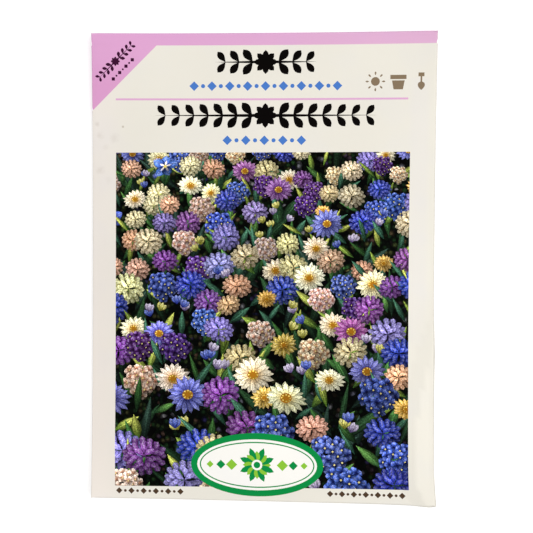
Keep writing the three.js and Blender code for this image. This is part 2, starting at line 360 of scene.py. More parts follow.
def leaf(x, y, angle, length, width, inks, light):
    lay_blade(x, y, angle, length, width, *inks, grain=LEAF, light=light, widest=0.45, fullness=1.0, steps=6)


def root_and_tip(codes):
    """The inks at the root and at the tip, from one string."""
    return tuple(map(ink, codes.split()))


STAMENS = root_and_tip("b0741a f8d95e")
DEEP_GREENS = [root_and_tip(codes) for codes in ("0b160d 1c3520", "101f15 2a4a2c", "0c1813 2c4238")]
FRESH_GREENS = [root_and_tip(codes) for codes in
                ("17311a 44743a", "1d3c22 5f9048", "33501f 93ad4a", "1c3a2c 4b7d63", "4b6a22 c3ca62")]
BUDS = [root_and_tip(codes) for codes in ("6b6a1e e6e07a", "5a4a7a d8cce8", "1d2a80 6f84dc")]
BLOOMS = [  # how many in a hundred, form, inks at the root and the tip, radius in millimetres
    (8, pompon, "06062a 3a4ec4", 4.7),
    (8, pompon, "1a1240 928ede", 4.6),
    (8, pompon, "240a38 8c52b0", 4.4),
    (7, cluster, "0c1450 5674dc", 4.9),
    (8, cluster, "260e3c 7042a6", 4.6),
    (5, aster, "15145a 7680de", 5.0),
    (5, aster, "3e1050 aa66b6", 4.7),
    (4, bellflower, "0e2278 5a84ea", 4.7),
    (10, aster, "d0ae68 fff6d4", 4.6),
    (15, pompon, "b09050 fff0bc", 4.3),
    (10, cluster, "b07e60 ffe8d0", 4.4),
    (8, pompon, "94502e fcc6a0", 3.9),
    (4, aster, "703f12 efc95c", 3.4),
]


def bloom_kind():
    """Picks one of the blooms by how common it is, each in its own cast of the colour."""
    _, kind, codes, radius = draw.choices(BLOOMS, [share for share, *_ in BLOOMS])[0]
    cast = np.array([draw.uniform(0.9, 1.24), draw.uniform(0.9, 1.1), draw.uniform(0.82, 1.08)])
    return kind, tuple(np.minimum(colour * cast, 1.0) for colour in root_and_tip(codes)), radius


width, height = BED["right"] - BED["left"], BED["high"] - BED["low"]
for i in range(DEEP_LEAVES):
    leaf(BED["left"] + draw.random() * width, BED["high"] - 5 - draw.random() * height,
         math.radians(draw.uniform(30, 150)), draw.uniform(7, 14), draw.uniform(1.4, 3.0),
         draw.choice(DEEP_GREENS), draw.uniform(0.8, 1.3))

y, row = BED["high"] - 1.0, 0
while y > BED["low"] - 1:
    depth = (BED["high"] - y) / height  # 0 at the far end of the bed
    size = 0.62 + 0.55 * depth
    count = round(width / (BLOOMS_APART * size))
    for i in range(count + 1):
        x = BED["left"] + (i + 0.5 * (row % 2) + draw.uniform(-0.32, 0.32)) * width / count
        here = y + draw.uniform(-1.7, 1.7)
        for _ in range(2):
            leaf(x + draw.uniform(-4, 4), here - draw.uniform(3, 8), math.radians(draw.uniform(25, 155)),
                 draw.uniform(5, 9) * size, draw.uniform(1.3, 2.4) * size, draw.choice(FRESH_GREENS),
                 draw.uniform(0.5, 1.2))
        chance = draw.random()
        if chance < BLOOMS_BELOW:
            bloom, inks, radius = bloom_kind()
            bloom(x, here, radius * size * draw.uniform(0.84, 1.14), inks, draw.uniform(0.72, 1.28))
        elif chance < BUDS_BELOW:
            for _ in range(3):
                bud(x + draw.uniform(-2, 2), here + draw.uniform(-2, 2), 2.3 * size, draw.choice(BUDS),
                    draw.uniform(0.8, 1.1))
    y, row = y - ROWS_APART * size, row + 1


def trimmed(outline, plate):
    """What lies of a shape within the plate, or None, since nothing prints past the picture's edge."""
    for start, stop in zip(plate, np.roll(plate, -1, axis=0)):
        along = stop - start
        depth = along[0] * (outline[:, 1] - start[1]) - along[1] * (outline[:, 0] - start[0])
        kept = []
        for a, b, da, db in zip(outline, np.roll(outline, -1, axis=0), depth, np.roll(depth, -1)):
            if da >= 0:
                kept.append(a)
            if (da > 0) != (db > 0) and da != db:
                kept.append(a + (b - a) * da / (da - db))
        if len(kept) < 3:
            return None
        outline = np.array(kept)
    return outline


in_picture = []
for shape in printed[picture_from:]:
    outline = trimmed(shape.outline, PLATE)
    if outline is not None:
        in_picture.append(shape._replace(outline=outline))
printed[picture_from:] = in_picture

# ---------------------------------------------------------------- The badge
# A plain white oval with a green border is printed over the lower edge of the picture. It holds a rosette of
# leaves, and a chain of diamonds at each side.
GREEN = ink("0b8a42")
LEAF_GREEN = ink("8ac23a")
WHITE = ink("f6f4ee")
BADGE = -0.85, -47.0  # its middle
BADGE_HALF_WIDTH, BADGE_HALF_HEIGHT = 15.9, 7.7
for inset, colour in ((0, GREEN), (1.5, WHITE), (2.1, GREEN), (2.4, WHITE)):
    lay(oval(*BADGE, BADGE_HALF_WIDTH - inset, BADGE_HALF_HEIGHT - inset, 56), colour)
for i in range(16):
    length, colour = (4.4, GREEN) if i % 2 else (3.4, LEAF_GREEN)
    lay_blade(*BADGE, math.pi / 8 * i, length, 1.5, colour, grain=FLAT_INK)
lay_disc(*BADGE, 1.3, WHITE)
lay_disc(*BADGE, 0.8, GREEN)
for side in (-1, 1):
    for i in range(3):
        size = 1.35 - 0.25 * i
        middle = BADGE[0] + side * (6.1 + 2.6 * i), BADGE[1]
        lay_diamond(middle, size, size, GREEN if i % 2 else LEAF_GREEN)

# ---------------------------------------------------------------- The back
# The back panel is printed in the same pass, in its place on the blank to the right of the front: violet
# rules at its head and foot, a sprig, a sowing chart of twelve boxes, the growing signs and four lines for
# notes.
BACK_MIDDLE = 2 * RIGHT + BACK_CREASE
BOX, BOX_LOW, BOX_HIGH, BOX_LINE = 5.5, 9.5, 16.0, 0.25  # width, foot, head and half an outline of a box
SOWING_BOXES = 3, 4, 8
NOTE_LINE, NOTE_LINES_APART = 0.25, 6.5
for y in (34.5, -38.5):
    lay_rule(BACK_MIDDLE - 35, BACK_MIDDLE + 35, y, 0.8, VIOLET)
lay_sprig((BACK_MIDDLE, 28.0), 46.0, 5.0, BLACK, 6)
lay_dots((BACK_MIDDLE, 22.6), 26.0, 1.9, BLUE, 13)
for i in range(12):
    x = BACK_MIDDLE - 33 + BOX * i
    lay_box(x, BOX_LOW, x + BOX, BOX_HIGH, PLUM)
    lay_box(x + BOX_LINE, BOX_LOW + BOX_LINE, x + (BOX - BOX_LINE), BOX_HIGH - BOX_LINE,
            LEAF_GREEN if i in SOWING_BOXES else WHITE)
lay_signs(BACK_MIDDLE - 16.0, 0.5, 16.0, 1.7, SEPIA)
for i in range(4):
    y = -11.0 - NOTE_LINES_APART * i
    lay_box(BACK_MIDDLE - 33, y, BACK_MIDDLE + 33, y + NOTE_LINE, BROWN)

# ---------------------------------------------------------------- Cutting the sheet along the inks
# The sheet's outside is one skin of small faces: a lattice that is fine enough to bend, cut along the edge
# of every ink that shows, so each face holds one ink. It is worked out tile by tile, with the same points
# where two tiles meet.
BARE, OFF_SHEET = -1, -2
SPLIT = 1e-4  # points nearer than this are one point
MARGIN = 0.1  # a tile is cut with what lies this far round it
# each stretch of the blank: from, to, tiles, lattice steps in a tile
ACROSS = [(-SEAM_START - SEAM_REACH, -SEAM_START, 1, 5), (-SEAM_START, -LEFT, 1, 8), (-LEFT, RIGHT, 12, 6),
          (RIGHT, BACK_START, 1, 8), (BACK_START, BACK_START + BACK_REACH, 6, 5)]
UP = [(-FLAP_START - BOTTOM_FLAP, -FLAP_START, 1, 6), (-FLAP_START, -END, 1, 8), (-END, END, 14, 6),
      (END, FLAP_START, 1, 8), (FLAP_START, FLAP_START + TOP_FLAP, 1, 8)]


def tiles_along(stretches):
    """The lattice lines of each tile along one direction."""
    tiles = []
    for start, stop, count, steps in stretches:
        lines = np.linspace(start, stop, count * steps + 1)
        tiles += [lines[i * steps : (i + 1) * steps + 1] for i in range(count)]
    return tiles


def inside(outline, points):
    """Which of the points lie within a closed outline."""
    x, y = points[:, 0, None], points[:, 1, None]
    (x0, y0), (x1, y1) = outline.T, np.roll(outline, -1, axis=0).T
    crosses = (y0 > y) != (y1 > y)
    at = x0 + (y - y0) * (x1 - x0) / np.where(y1 == y0, 1, y1 - y0)
    return (crosses & (x < at)).sum(1) % 2 == 1


def topmost(points, shapes, sheet):
    """The last shape laid over each point, or BARE, or OFF_SHEET."""
    found = np.full(len(points), BARE)
    for number, shape in shapes:
        (x0, y0), (x1, y1) = shape.outline.min(0), shape.outline.max(0)
        x, y = points.T
        near = np.flatnonzero((x > x0) & (x < x1) & (y > y0) & (y < y1))
        if len(near):
            found[near[inside(shape.outline, points[near])]] = number
    found[~inside(sheet, points)] = OFF_SHEET
    return found


def triangulated(points, edges):
    """The points and the triangles between them, with every edge kept."""
    found = delaunay_2d_cdt(points, edges, [], 0, SPLIT / 10, False)
    return np.array([tuple(p) for p in found[0]]), np.array([f for f in found[2] if len(f) == 3])


def cut_tile(columns, rows, shapes, sheet):
    """The triangles of one tile: (points, corner numbers, number of the shape on each)."""
    low, high = np.array([columns[0], rows[0]]), np.array([columns[-1], rows[-1]])
    points = [Vector(p) for p in ((low[0], low[1]), (high[0], low[1]), (high[0], high[1]), (low[0], high[1]))]
    edges = [(0, 1), (1, 2), (2, 3), (3, 0)]
    for outline in [shape.outline for _, shape in shapes] + [sheet]:
        ends = np.roll(outline, -1, axis=0)
        reaches = (np.maximum(outline, ends) >= low - MARGIN) & (np.minimum(outline, ends) <= high + MARGIN)
        near = reaches.all(1)
        for a, b in zip(outline[near], ends[near]):
            edges.append((len(points), len(points) + 1))
            points += [Vector(a), Vector(b)]
    spots, corners = triangulated(points, edges)
    middles = spots[corners].mean(1)
    within = ((middles > low) & (middles < high)).all(1)
    corners, middles = corners[within], middles[within]
    tops = topmost(middles, shapes, sheet)
    beside = {}
    for triangle, top in zip(corners.tolist(), tops.tolist()):
        for a, b in zip(triangle, triangle[1:] + triangle[:1]):
            beside.setdefault((min(a, b), max(a, b)), []).append(top)
    seen, border = [], {}
    for (a, b), pair in beside.items():
        if len(pair) == 2 and pair[0] != pair[1]:
            seen.append((a, b))
        elif len(pair) == 1:
            for end in (a, b):
                border.setdefault(end, set()).add(pair[0])
    changes = {end for end, tops_at in border.items() if len(tops_at) > 1}
    used = sorted({end for edge in seen for end in edge} | changes)
    order = {end: i for i, end in enumerate(used)}
    points = [Vector(spots[end]) for end in used]
    for p in points:  # what is next to the tile's border is put on it, where the next tile has it too
        for axis in (0, 1):
            for limit in (low[axis], high[axis]):
                if abs(p[axis] - limit) < SPLIT:
                    p[axis] = limit
    points += [Vector((x, y)) for x in columns for y in rows]
    spots, corners = triangulated(points, [(order[a], order[b]) for a, b in seen])
    return spots, corners, topmost(spots[corners].mean(1), shapes, sheet)


def free_edges(corners):
    """The edges that only one triangle has, each in that triangle's direction."""
    edges = np.concatenate([corners[:, [0, 1]], corners[:, [1, 2]], corners[:, [2, 0]]])
    size = corners.max() + 1
    key, back = edges[:, 0] * size + edges[:, 1], edges[:, 1] * size + edges[:, 0]
    return edges[~np.isin(key, back)]


def sewn(points, corners, tops):
    """Closes the cracks where tiles meet, by splitting each triangle at a neighbour's corner on its side."""
    loose = free_edges(corners)
    ends = np.unique(loose)
    way = points[loose[:, 1]] - points[loose[:, 0]]
    length = np.linalg.norm(way, axis=1)[:, None]
    off = points[ends] - points[loose[:, 0], None]
    along = (off * way[:, None]).sum(2) / length
    across = abs(off[:, :, 0] * way[:, None, 1] - off[:, :, 1] * way[:, None, 0]) / length
    on_side = (across < SPLIT) & (along > SPLIT / 10) & (length - along > SPLIT / 10)
    corners, tops = corners.tolist(), tops.tolist()
    owner = {edge: i for i, (a, b, c) in enumerate(corners) for edge in ((a, b), (b, c), (c, a))}
    for row in np.flatnonzero(on_side.any(1)):
        a, b = loose[row].tolist()
        split = owner[a, b]
        c = sum(corners[split]) - a - b
        stops = ends[on_side[row]][np.argsort(along[row][on_side[row]])].tolist() + [b]
        for stop in stops:
            if stop == b:
                number = split
                corners[split] = (a, b, c)
            else:
                number = len(corners)
                corners.append((a, stop, c))
                tops.append(tops[split])
            owner.update({(a, stop): number, (stop, c): number, (c, a): number})
            a = stop
    return np.array(corners), np.array(tops)


def cut_sheet(sheet):
    """The whole printed face: points, triangles and the shape that shows on each."""
    points, corners, tops = [], [], []
    boxes = [(shape.outline.min(0), shape.outline.max(0)) for shape in printed]
    for columns in tiles_along(ACROSS):
        for rows in tiles_along(UP):
            if abs(columns[0] + columns[-1]) / 2 > WIDTH / 2 + 1 and abs(rows[0] + rows[-1]) / 2 > END:
                continue  # no paper lies between a wing and an end flap
            low, high = (columns[0], rows[0]), (columns[-1], rows[-1])
            near = [i for i, (a, b) in enumerate(boxes) if (b >= low).all() and (a <= high).all()]
            shapes = [(i, printed[i]) for i in near]
            spots, triangles, tops_here = cut_tile(columns, rows, shapes, sheet)
            kept = tops_here != OFF_SHEET
            corners.append(triangles[kept] + sum(map(len, points)))
            points.append(spots)
            tops.append(tops_here[kept])
    points, corners, tops = np.concatenate(points), np.concatenate(corners), np.concatenate(tops)
    for shift in (0, 0.5):  # two points that are one are in the same box of at least one of two grids
        box = np.round(points / SPLIT + shift)
        _, first, number = np.unique(box, axis=0, return_index=True, return_inverse=True)
        points, corners = points[first], number.reshape(-1)[corners]
    whole = (corners != np.roll(corners, 1, axis=1)).all(1)
    used, corners = np.unique(corners[whole], return_inverse=True)
    return points[used], *sewn(points[used], corners.reshape(-1, 3), tops[whole])


outline = blank_outline()
skin, skin_corners, skin_shapes = cut_sheet(outline)

# ---------------------------------------------------------------- Folding, filling and gluing
# The blank is turned under at its creases and glued on the back: the seam flap inside, the back panel over
# it, the end flaps over both. The seeds push the front up, pull the folds in a little and lift the ends and
# sides off the table, and the paper lies soft over them.
class Wire:
    """A node's output. Arithmetic with it adds the nodes that work it out."""

    def __init__(self, nodes, socket):
        self.nodes, self.socket = nodes, socket

    def math(self, operation, *values):
        return self.nodes("ShaderNodeMath", self, *values, operation=operation)

    def vector_math(self, operation, *values):
        return self.nodes("ShaderNodeVectorMath", self, *values, operation=operation)

    def noise(self, scale, detail, roughness):
        """Noise at this place."""
        return self.nodes("ShaderNodeTexNoise", self, scale, detail, roughness)

    def __add__(self, other):
        return self.math("ADD", other)

    def __sub__(self, other):
        return self.math("SUBTRACT", other)

    def __rsub__(self, other):
        return self.nodes("ShaderNodeMath", other, self, operation="SUBTRACT")

    def __mul__(self, other):
        return self.math("MULTIPLY", other)

    def __truediv__(self, other):
        return self.math("DIVIDE", other)

    def __gt__(self, other):
        return self.math("GREATER_THAN", other)

    def __lt__(self, other):
        return self.math("LESS_THAN", other)

    def __abs__(self):
        return self.math("ABSOLUTE")

    __radd__, __rmul__ = __add__, __mul__

    def beyond(self, start, stop=None):
        """How far it is past start, up to stop."""
        past = self.math("SUBTRACT", start).math("MAXIMUM", 0.0)
        return past if stop is None else past.math("MINIMUM", stop - start)

    def spread(self):
        """The three parts of a vector."""
        node = self.nodes.add("ShaderNodeSeparateXYZ", self)
        return [Wire(self.nodes, socket) for socket in node.outputs]

    def to(self, node, name):
        self.nodes.tree.links.new(self.socket, node.inputs[name])


class Nodes:
    """Adds nodes to one tree. The values go to the new node's inputs in order, None to leave one alone."""

    def __init__(self, tree):
        self.tree = tree

    def add(self, kind, *values, **settings):
        node = self.tree.nodes.new(kind)
        for name, value in settings.items():
            setattr(node, name, value)
        for socket, value in zip([s for s in node.inputs if s.enabled], values):
            if isinstance(value, Wire):
                self.tree.links.new(value.socket, socket)
            elif value is not None:
                socket.default_value = value
        return node

    def __call__(self, kind, *values, output=0, **settings):
        node = self.add(kind, *values, **settings)
        return Wire(self, [s for s in node.outputs if s.enabled][output])

    def vector(self, x, y, z):
        return self("ShaderNodeCombineXYZ", x, y, z)


def new_form(name, sizes):
    """A tree of geometry nodes with these sizes as its named inputs."""
    tree = bpy.data.node_groups.new(name, "GeometryNodeTree")
    tree.interface.new_socket("Geometry", in_out="INPUT", socket_type="NodeSocketGeometry")
    tree.interface.new_socket("Geometry", in_out="OUTPUT", socket_type="NodeSocketGeometry")
    for size, value in sizes.items():
        kind = "NodeSocketFloat" if isinstance(value, (int, float)) else "NodeSocketObject"
        tree.interface.new_socket(size, in_out="INPUT", socket_type=kind)
    nodes = Nodes(tree)
    given = nodes.add("NodeGroupInput")
    return nodes, {socket.name: Wire(nodes, socket) for socket in given.outputs if socket.name}


def placed(name, data):
    """A new object in the scene."""
    made = bpy.data.objects.new(name, data)
    bpy.context.scene.collection.objects.link(made)
    return made


def shaped(name, mesh, nodes, sizes):
    """The mesh that the tree makes of this one, plain and without the tree."""
    start = placed(name, mesh)
    form = start.modifiers.new(name, "NODES")
    form.node_group = nodes.tree
    for socket in nodes.tree.interface.items_tree:
        if socket.in_out == "INPUT" and socket.name in sizes:
            form[socket.identifier] = sizes[socket.name]
    bpy.context.view_layer.update()
    graph = bpy.context.evaluated_depsgraph_get()
    result = start.evaluated_get(graph)
    made = bpy.data.meshes.new_from_object(result, preserve_all_data_layers=True, depsgraph=graph)
    bpy.data.objects.remove(start)
    for slot in reversed(range(len(made.materials))):
        if made.materials[slot] is None:
            made.materials.pop(index=slot)
    return made


seed_names = sorted(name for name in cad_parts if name.startswith("seed_"))


def seed_spots():
    """A helper object with a point at the middle of each seed, in millimetres, at the height of the table."""
    mesh = bpy.data.meshes.new("seed_spots")
    boxes = [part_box(name) for name in seed_names]
    mesh.from_pydata([((a.x + b.x) / 2 / MM, (a.y + b.y) / 2 / MM, 0) for a, b in boxes], [], [])
    return bpy.data.objects.new("seed_spots", mesh)


FILLING = {
    "Width": WIDTH, "Height": HEIGHT, "Paper": PAPER, "Edge gap": EDGE_GAP, "Seed bulge": 2.6,
    "Side rise": 0.7, "End rise": 1.1, "Flat half": 22.0,
    "Side ramp": 18.0, "Bottom ramp": 19.0, "Top ramp": 62.0,
    "Pull left": 0.22, "Pull right": 0.5, "Pull top": 0.2, "Pull bottom": 0.06,
    "Dip": 0.08, "Seed reach": 3.4, "Wave": 0.1, "Ridge": 0.55, "Flare": 0.28, "Seeds": seed_spots(),
}
HELD = 12.0  # how far from the folds the paper lies stiff
RIDGE_PLACE, RIDGE_SLOPES = (36.6, -47.0), (4.0, 4.3)  # where it turns, and how wide its sides are
RIDGE_CURVE_UP, RIDGE_CURVE_DOWN = 13.0, 5.0  # how far above and below that place it is 1 mm out of line
FLARE_ACROSS, FLARE_UP, FLARE_DOWN = (24.0, 41.0), (-47.0, -56.0), 0.4  # the lower right corner is bent out
NUDGE = 0.03  # between the places that tell how the sheet faces


def eased(distance, ramp):
    """Rises from 0 at the fold to 1 where the ramp ends."""
    return (distance / ramp).math("MINIMUM", 1.0).math("MAXIMUM", 0.0).__mul__(math.pi / 2).math("SINE")


def smooth(value, low, high, to_low=0.0, to_high=1.0):
    """Goes softly from to_low to to_high as the value goes from low to high."""
    return value.nodes("ShaderNodeMapRange", value, low, high, to_low, to_high,
                       interpolation_type="SMOOTHSTEP")


def relief(nodes, size, x, y):
    """How the front stands above its even swell: it dips between the seeds, waves a little, and has a
    soft ridge by the right fold, near the bottom."""
    seeds = Wire(nodes, nodes.add("GeometryNodeObjectInfo", size["Seeds"]).outputs["Geometry"])
    place = nodes.vector(x, y, 0.0)
    gap = nodes("GeometryNodeProximity", seeds, None, place, output=1, target_element="POINTS")
    gap = smooth(gap, 1.0, size["Seed reach"], 0.0, size["Dip"])
    held = eased(size["Width"] / 2 - abs(x), HELD) * eased(size["Height"] / 2 - abs(y), HELD)
    ridge_x, ridge_y = RIDGE_PLACE
    left_slope, right_slope = RIDGE_SLOPES
    bend = (y - ridge_y) / (RIDGE_CURVE_UP - (y < ridge_y) * (RIDGE_CURVE_UP - RIDGE_CURVE_DOWN))
    off = x - (ridge_x + bend * bend)
    ridge = (1.0 - (off * -1.0).beyond(0.0) / left_slope - off.beyond(0.0) / right_slope).beyond(0.0)
    wave = (place.noise(0.02, 1.0, 0.4) - 0.5) * size["Wave"]
    return held * held * (wave - gap) + ridge * size["Ridge"]


def folded(nodes, size, u, v):
    """Where a point of the blank's middle layer lies. A wing goes half round its crease, then back."""
    on_flap = abs(u) < FLAP_HALF + SLIT / 2
    over = dict(right=(u - RIGHT, BACK_CREASE), left=(-LEFT - u, SEAM_CREASE),
                top=((v - END) * on_flap, END_CREASE), bottom=((-END - v) * on_flap, END_CREASE))
    turn = {side: far.beyond(0.0, crease) / crease for side, (far, crease) in over.items()}
    # what lies past a crease goes back the way it came
    back = {side: far.beyond(0.0) + far.beyond(crease) for side, (far, crease) in over.items()}
    x = u - back["right"] + back["left"]
    y = v - back["top"] + back["bottom"]
    level = (turn["left"] > 0.0) * SEAM_LEVEL + (turn["top"] + turn["bottom"] > 0.0) * END_LEVEL

    flat = size["Flat half"]
    side = abs(x).beyond(flat) / (size["Width"] / 2 - flat)
    end = abs(y).beyond(flat) / (size["Height"] / 2 - flat)
    rise = size["Paper"] / 2 + size["Side rise"] * side * side + size["End rise"] * end * end
    up_from_bottom = eased(size["Height"] / 2 + y, size["Bottom ramp"])
    swell = eased(size["Width"] / 2 - abs(x), size["Side ramp"])
    swell *= up_from_bottom * eased(size["Height"] / 2 - y, size["Top ramp"])
    front = rise + size["Edge gap"] + size["Seed bulge"] * swell + relief(nodes, size, x, y)

    radius = (front - rise - level) / 2
    angle = (turn["right"] + turn["left"] + turn["top"] + turn["bottom"]) * math.pi
    out = radius * angle.math("SINE")
    side_pull = size["Pull left"] + (x > 0.0) * (size["Pull right"] - size["Pull left"])
    end_pull = size["Pull bottom"] + (y > 0.0) * (size["Pull top"] - size["Pull bottom"])
    along, across = y / (size["Height"] / 2), x / (size["Width"] / 2)
    x = x - side_pull * (1.0 - along * along) * across
    y = y - end_pull * (1.0 - across * across) * along
    corner = smooth(y, *FLARE_UP) * smooth(x, *FLARE_ACROSS) * size["Flare"]
    x += corner
    y -= corner * FLARE_DOWN
    x += out * ((turn["right"] > 0.0) - (turn["left"] > 0.0))
    y += out * ((turn["top"] > 0.0) - (turn["bottom"] > 0.0))
    return nodes.vector(x, y, rise + level + radius * (angle.math("COSINE") + 1.0))


def folding_tree(finishes):
    """Folds a flat sheet whose printed skin is at +1 and inner skin at -1, in millimetres, to metres.
    Its faces get the finish that they are numbered with."""
    nodes, size = new_form("fold_and_fill", FILLING)
    u, v, skin = nodes("GeometryNodeInputPosition").spread()
    place = folded(nodes, size, u, v)
    across = folded(nodes, size, u + NUDGE, v).vector_math("SUBTRACT", folded(nodes, size, u - NUDGE, v))
    up = folded(nodes, size, u, v + NUDGE).vector_math("SUBTRACT", folded(nodes, size, u, v - NUDGE))
    facing = across.vector_math("CROSS_PRODUCT", up).vector_math("NORMALIZE")
    kept = nodes("GeometryNodeStoreNamedAttribute", size["Geometry"], None, "facing", facing,
                 data_type="FLOAT_VECTOR", domain="POINT")
    stand = facing.vector_math("SCALE", skin * size["Paper"] / 2)
    place = place.vector_math("ADD", stand).vector_math("MULTIPLY", (MM, MM, MM))
    done = nodes("GeometryNodeSetPosition", kept, None, place)
    done = nodes("GeometryNodeRealizeInstances", done)
    finish = nodes("GeometryNodeInputNamedAttribute", "finish", data_type="FLOAT")
    for number, material in enumerate(finishes):
        done = nodes("GeometryNodeSetMaterial", done, finish > number - 0.5, material)
    nodes.add("NodeGroupOutput", done)
    return nodes


# The inside of the sheet has no print, so its lattice is coarser. It meets the printed skin at every point of
# the cut edge, where a narrow wall shows the thickness of the paper.
def inside_lattice(sheet, rim_points, clear=0.25, beside_slit=0.08):
    """Points for the inner skin: half as many lines as the tiles have, but all of them round the creases."""
    lines = []
    for stretches in (ACROSS, UP):
        steps = [(a, b, count * each if count == 1 else count * each // 2) for a, b, count, each in stretches]
        lines.append(np.unique(np.concatenate([np.linspace(a, b, n + 1) for a, b, n in steps])))
    spots = np.stack(np.meshgrid(*lines), -1).reshape(-1, 2)
    for step in ((clear, clear), (-clear, clear), (-clear, -clear), (clear, -clear)):
        spots = spots[inside(sheet, spots + step)]
    away = np.linalg.norm(spots[:, None] - rim_points, axis=2).min(1)
    return spots[away > beside_slit]


cut_edges = free_edges(skin_corners)
rim, rim_ends = np.unique(cut_edges, return_inverse=True)
rim_ends = rim_ends.reshape(-1, 2)
lining = np.concatenate([skin[rim], inside_lattice(outline, skin[rim])])
found = delaunay_2d_cdt([Vector(p) for p in lining], rim_ends.tolist(), [], 0, SPLIT / 10, True)
own = np.array([ids[0] for ids in found[3]])
lining_corners = own[np.array([f for f in found[2] if len(f) == 3])]
lining_corners = lining_corners[inside(outline, lining[lining_corners].mean(1))]
inner = len(skin)
edge_from, edge_to = cut_edges.T
inner_from, inner_to = (rim_ends + inner).T
walls = [np.stack([edge_to, edge_from, inner_from], 1), np.stack([edge_to, inner_from, inner_to], 1)]
walls = np.stack(walls, 1).reshape(-1, 3)
triangles = np.concatenate([skin_corners, lining_corners[:, ::-1] + inner, walls])
PRINTED_FACE, LINING, CUT_EDGE = range(3)
on_face = np.repeat([PRINTED_FACE, LINING, CUT_EDGE], [len(skin_corners), len(lining_corners), len(walls)])


def map_places(gap=1.0, row_length=140.0, row_height=1.2):
    """Each corner's place on a square map: the printed face as on the blank, and in a strip above it the
    lining, smaller, with the cut edge beside it in rows."""
    low, high = outline.min(0), outline.max(0)
    wide, tall = high - low
    small = (wide - tall) / tall * 0.9
    strip = np.array([low[0], high[1] + gap])
    face = skin[skin_corners].reshape(-1, 2)
    plain = (lining[lining_corners[:, ::-1]].reshape(-1, 2) - low) * small + strip
    length = np.linalg.norm(skin[edge_to] - skin[edge_from], axis=1) * 0.8
    start = np.concatenate([[0], np.cumsum(length)[:-1]])
    row = start // row_length
    row_start = wide * small + 2 * gap
    from_at = np.stack([start - row * row_length + row_start, row * row_height * 1.5], 1) + strip
    to_at = from_at + np.stack([length, 0 * length], 1)
    rise = np.array([0, row_height])
    edge = np.stack([to_at, from_at, from_at + rise, to_at, from_at + rise, to_at + rise], 1).reshape(-1, 2)
    return (np.concatenate([face, plain, edge]) - low) / (wide + 4 * gap)


# ---------------------------------------------------------------- Coated paper and its inks
# The outside has a thin satin coating, slightly uneven in tone; the inks lie in it, shaded along each petal
# and leaf. The inside is plain, and the cut edge shows the paper's core.
BARE_PAPER = ink("e5e1d6")
MARGIN_LIGHT_HIGH, MARGIN_LIGHT_LOW = (1.025, 1.0, 1.03), (1.055, 1.015, 1.04)  # painted light tint: the left margin is pinker, and duller at its head
FLASH_CAST = (0.98, 0.92, 0.94)  # the corner flash was printed darker towards its foot
BAND_SHEEN_LEFT, BAND_SHEEN_RIGHT = (0.99, 0.92, 0.99), (1.0, 1.07, 1.0)  # painted sheen: the violet band is lighter towards the right
GREY_CAST, PATCH_CAST = (0.985, 0.985, 1.02), (0.985, 0.99, 1.015)
SMUDGES = [  # place on the front, size in millimetres, strength
    (-40.0, 34.3, 0.7, 0.15), (-39.4, 31.5, 1.0, 0.12), (-35.8, 30.9, 1.3, 0.09), (-38.0, 28.7, 0.8, 0.07),
    (-39.4, 23.2, 1.1, 0.12), (-37.3, 20.8, 1.0, 0.06), (-33.7, 33.6, 0.3, 0.5),
]


def print_values():
    """What each corner of the printed face says about the shape that it lies on."""
    count = len(skin_corners)
    values = {name: np.ones((count, 3, 4)) for name in ("root_ink", "tip_ink")}
    values.update(blade=np.zeros((count, 3, 3)), light=np.ones((count, 3, 1)), lot=np.zeros((count, 3, 1)),
                  crease=np.zeros((count, 3, 1)), blank=np.zeros((count, 3, 3)))
    u, v = skin[skin_corners].transpose(2, 0, 1)
    for past, crease in ((u - RIGHT, BACK_CREASE), (-LEFT - u, SEAM_CREASE)):
        values["crease"][:, :, 0] += np.sin(math.pi * np.clip(past / crease, 0, 1))
    values["blank"][:, :, :2] = skin[skin_corners] * MM
    values["root_ink"][:, :, :3] = values["tip_ink"][:, :, :3] = BARE_PAPER
    order = np.argsort(skin_shapes, kind="stable")
    numbers, starts = np.unique(skin_shapes[order], return_index=True)
    for number, chosen in zip(numbers, np.split(order, starts[1:])):
        if number == BARE:
            continue
        shape = printed[number]
        values["root_ink"][chosen, :, :3] = shape.root_ink
        values["tip_ink"][chosen, :, :3] = shape.tip_ink
        values["light"][chosen] = shape.light
        values["lot"][chosen] = number * 0.618 % 1
        reach = np.linalg.norm(shape.reach)
        way = np.array(shape.reach) / reach
        off = skin[skin_corners[chosen]] - shape.root
        along = np.clip(off @ way / reach, 0, 1)
        across = (off[:, :, 1] * way[0] - off[:, :, 0] * way[1]) / shape.half_width
        girth = np.sin(math.pi * along**shape.power) ** shape.fullness
        values["blade"][chosen, :, 0] = along
        values["blade"][chosen, :, 1] = np.clip(across / np.maximum(girth, 0.25), -1, 1)
        values["blade"][chosen, :, 2] = shape.grain
    return values


def new_material(name, colour, roughness, specular):
    """A material with these values on its surface, what adds nodes to it, and its surface."""
    material = bpy.data.materials.new(name)
    material.use_nodes = True
    nodes = Nodes(material.node_tree)
    surface = material.node_tree.nodes["Principled BSDF"]
    surface.inputs["Base Color"].default_value = (*colour, 1)
    surface.inputs["Roughness"].default_value = roughness
    surface.inputs["Specular IOR Level"].default_value = specular
    return material, nodes, surface


def mixed(share, first, second, kind="FLOAT"):
    return share.nodes("ShaderNodeMix", share, first, second, data_type=kind)


def opaque(code):
    return (*ink(code), 1)


def over(inks, share, code):
    """The inks with this one over them, as thick as share says."""
    return mixed(share, inks, opaque(code), "RGBA")


def tinted(inks, share, cast):
    """The inks with this cast in them, as strong as share says."""
    return mixed(share, inks, inks.vector_math("MULTIPLY", cast), "RGBA")


def toned(colour, tone):
    """The colour, this many times as bright."""
    return tone.nodes("ShaderNodeVectorMath", colour, tone, operation="SCALE")


def roughen(surface, height, depth, strength=1.0):
    """Gives the surface a fine relief of this depth in metres."""
    height.nodes("ShaderNodeBump", strength, depth, None, height).to(surface, "Normal")


